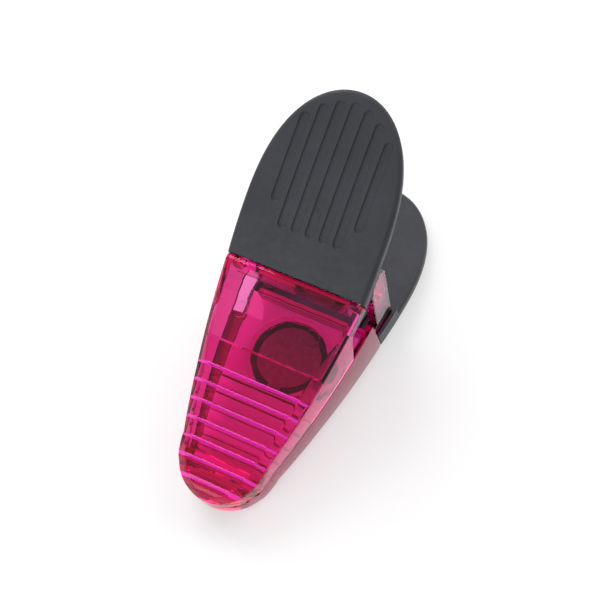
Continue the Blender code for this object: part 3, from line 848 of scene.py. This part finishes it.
def pale_floor():
    """A white light table, so that the clip throws hardly any shadow."""
    material, nodes, links, shader = new_material("pale_floor")
    shader.inputs["Base Color"].default_value = (FLOOR_GREY, FLOOR_GREY, FLOOR_GREY, 1.0)
    shader.inputs["Roughness"].default_value = 0.9
    shader.inputs["Specular IOR Level"].default_value = 0.1
    shader.inputs["Emission Color"].default_value = (1.0, 1.0, 1.0, 1.0)
    shader.inputs["Emission Strength"].default_value = FLOOR_GLOW
    return material


# ---------------------------------------------------------------- pieces

pink = clear_pink("clear_pink_plastic", (0.97, 0.82, 0.66), 1.0)
# Painted highlight: the risers get a bright magenta, nearly opaque copy of the plastic in place of the
# lines of light they catch.
riser_painted_highlight = clear_pink("pink_riser_painted_highlight", (1.0, 0.015, 0.5), 0.05)
# Painted glow: the lower arm's outer side walls get a deeper red, less clear copy of the plastic.
side_painted_glow = clear_pink("pink_side_painted_glow", (1.0, 0.12, 0.3), 0.72)
arm_materials = [pink, riser_painted_highlight, side_painted_glow]
black = [soft_black()]
magnet_materials = [
    # The inner face is ground, so lighter than the fired outer face, and painted pale lilac on top of
    # that as painted light.
    ferrite("ground_ferrite_painted_light", (0.62, 0.58, 0.85), (0.78, 0.74, 0.98)),
    # Painted shadow: near black on the rim and chamfer, where the gap round the magnet lies in shade.
    ferrite("ferrite_painted_shadow", (0.012, 0.012, 0.013), (0.025, 0.025, 0.027)),
    ferrite("outer_ferrite", (0.06, 0.06, 0.064), (0.1, 0.1, 0.105)),
]
steel = [spring_steel()]

upper_arm = moulded_arm("clear_upper_arm", True)
lower_arm = moulded_arm("clear_lower_arm", False)
place(upper_arm, UPPER, "upper_body", ["upper_arm"], arm_materials)
place(lower_arm, LOWER, "lower_body", ["lower_arm"], arm_materials)
place(grip_sleeve("soft_upper_grip"), UPPER, "upper_body", ["upper_grip"], black)
place(grip_sleeve("soft_lower_grip"), LOWER, "lower_body", ["lower_grip"], black)
place(disc_magnet("ferrite_disc"), LOWER, "lower_body", ["magnet"], magnet_materials)

spring = smooth(torsion_spring("spring_wire"), SMOOTH_ANGLE, even=False)
place(spring, HINGE, None, ["torsion_spring"], steel)
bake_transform(spring)
place(hinge_bar("steel_pin"), LOWER, "lower_body", ["hinge_pin"], steel)


# ---------------------------------------------------------------- floor, light and camera

floor_mesh = bmesh.new()
bmesh.ops.create_grid(floor_mesh, x_segments=1, y_segments=1, size=FLOOR_SIZE)
floor = add_object("floor", floor_mesh)
floor.location.z = -FLOOR_DROP
floor.data.materials.append(pale_floor())

world = bpy.data.worlds.new("studio")
bpy.context.scene.world = world
world.use_nodes = True
world.node_tree.nodes["Background"].inputs["Color"].default_value = (1.0, 1.0, 1.0, 1.0)
world.node_tree.nodes["Background"].inputs["Strength"].default_value = WORLD_STRENGTH
bpy.context.scene.view_settings.view_transform = "Standard"


def softbox(name, position, size, power, target=(0.0, 0.0, 0.02)):
    data = bpy.data.lights.new(name, "AREA")
    data.shape = "RECTANGLE"
    data.size, data.size_y = size
    data.energy = power
    lamp = bpy.data.objects.new(name, data)
    lamp.location = position
    lamp.rotation_euler = (Vector(target) - Vector(position)).to_track_quat("-Z", "Y").to_euler()
    bpy.context.scene.collection.objects.link(lamp)


softbox("key", (-0.8, 0.5, 1.0), (1.0, 1.0), 9.5)
softbox("fill", (0.5, 0.9, 1.0), (1.0, 1.0), 6.0)
softbox("front", (-0.5, -1.3, 0.8), (1.0, 0.7), 6.0)

# The camera's direction, roll and distance from the point between the shoulders, in the hinge's frame
VIEW_AZIMUTH = math.radians(16.458)
VIEW_ELEVATION = math.radians(-11.963)
VIEW_ROLL = math.radians(25.649)
VIEW_DISTANCE = 0.4057
FOCAL_LENGTH = 97.34
FRAME_SHIFT = (-0.01037, -0.0004)

back = Vector((
    math.sin(VIEW_AZIMUTH) * math.cos(VIEW_ELEVATION),
    math.sin(VIEW_ELEVATION),
    math.cos(VIEW_AZIMUTH) * math.cos(VIEW_ELEVATION),
))
level = Vector((math.cos(VIEW_AZIMUTH), 0.0, -math.sin(VIEW_AZIMUTH)))
upward = back.cross(level)
right = level * math.cos(VIEW_ROLL) + upward * math.sin(VIEW_ROLL)
upward = upward * math.cos(VIEW_ROLL) - level * math.sin(VIEW_ROLL)
camera_data = bpy.data.cameras.new("camera")
camera_data.lens = FOCAL_LENGTH
camera_data.shift_x, camera_data.shift_y = FRAME_SHIFT
camera_data.clip_start = 0.01
camera = bpy.data.objects.new("camera", camera_data)
bpy.context.scene.collection.objects.link(camera)
spot = Vector((0.0, SHOULDER_Y, 0.0)) + back * VIEW_DISTANCE
axes = Matrix((right, upward, back)).transposed().to_4x4()
camera.matrix_world = HINGE @ Matrix.Translation(spot) @ axes
bpy.context.scene.camera = camera
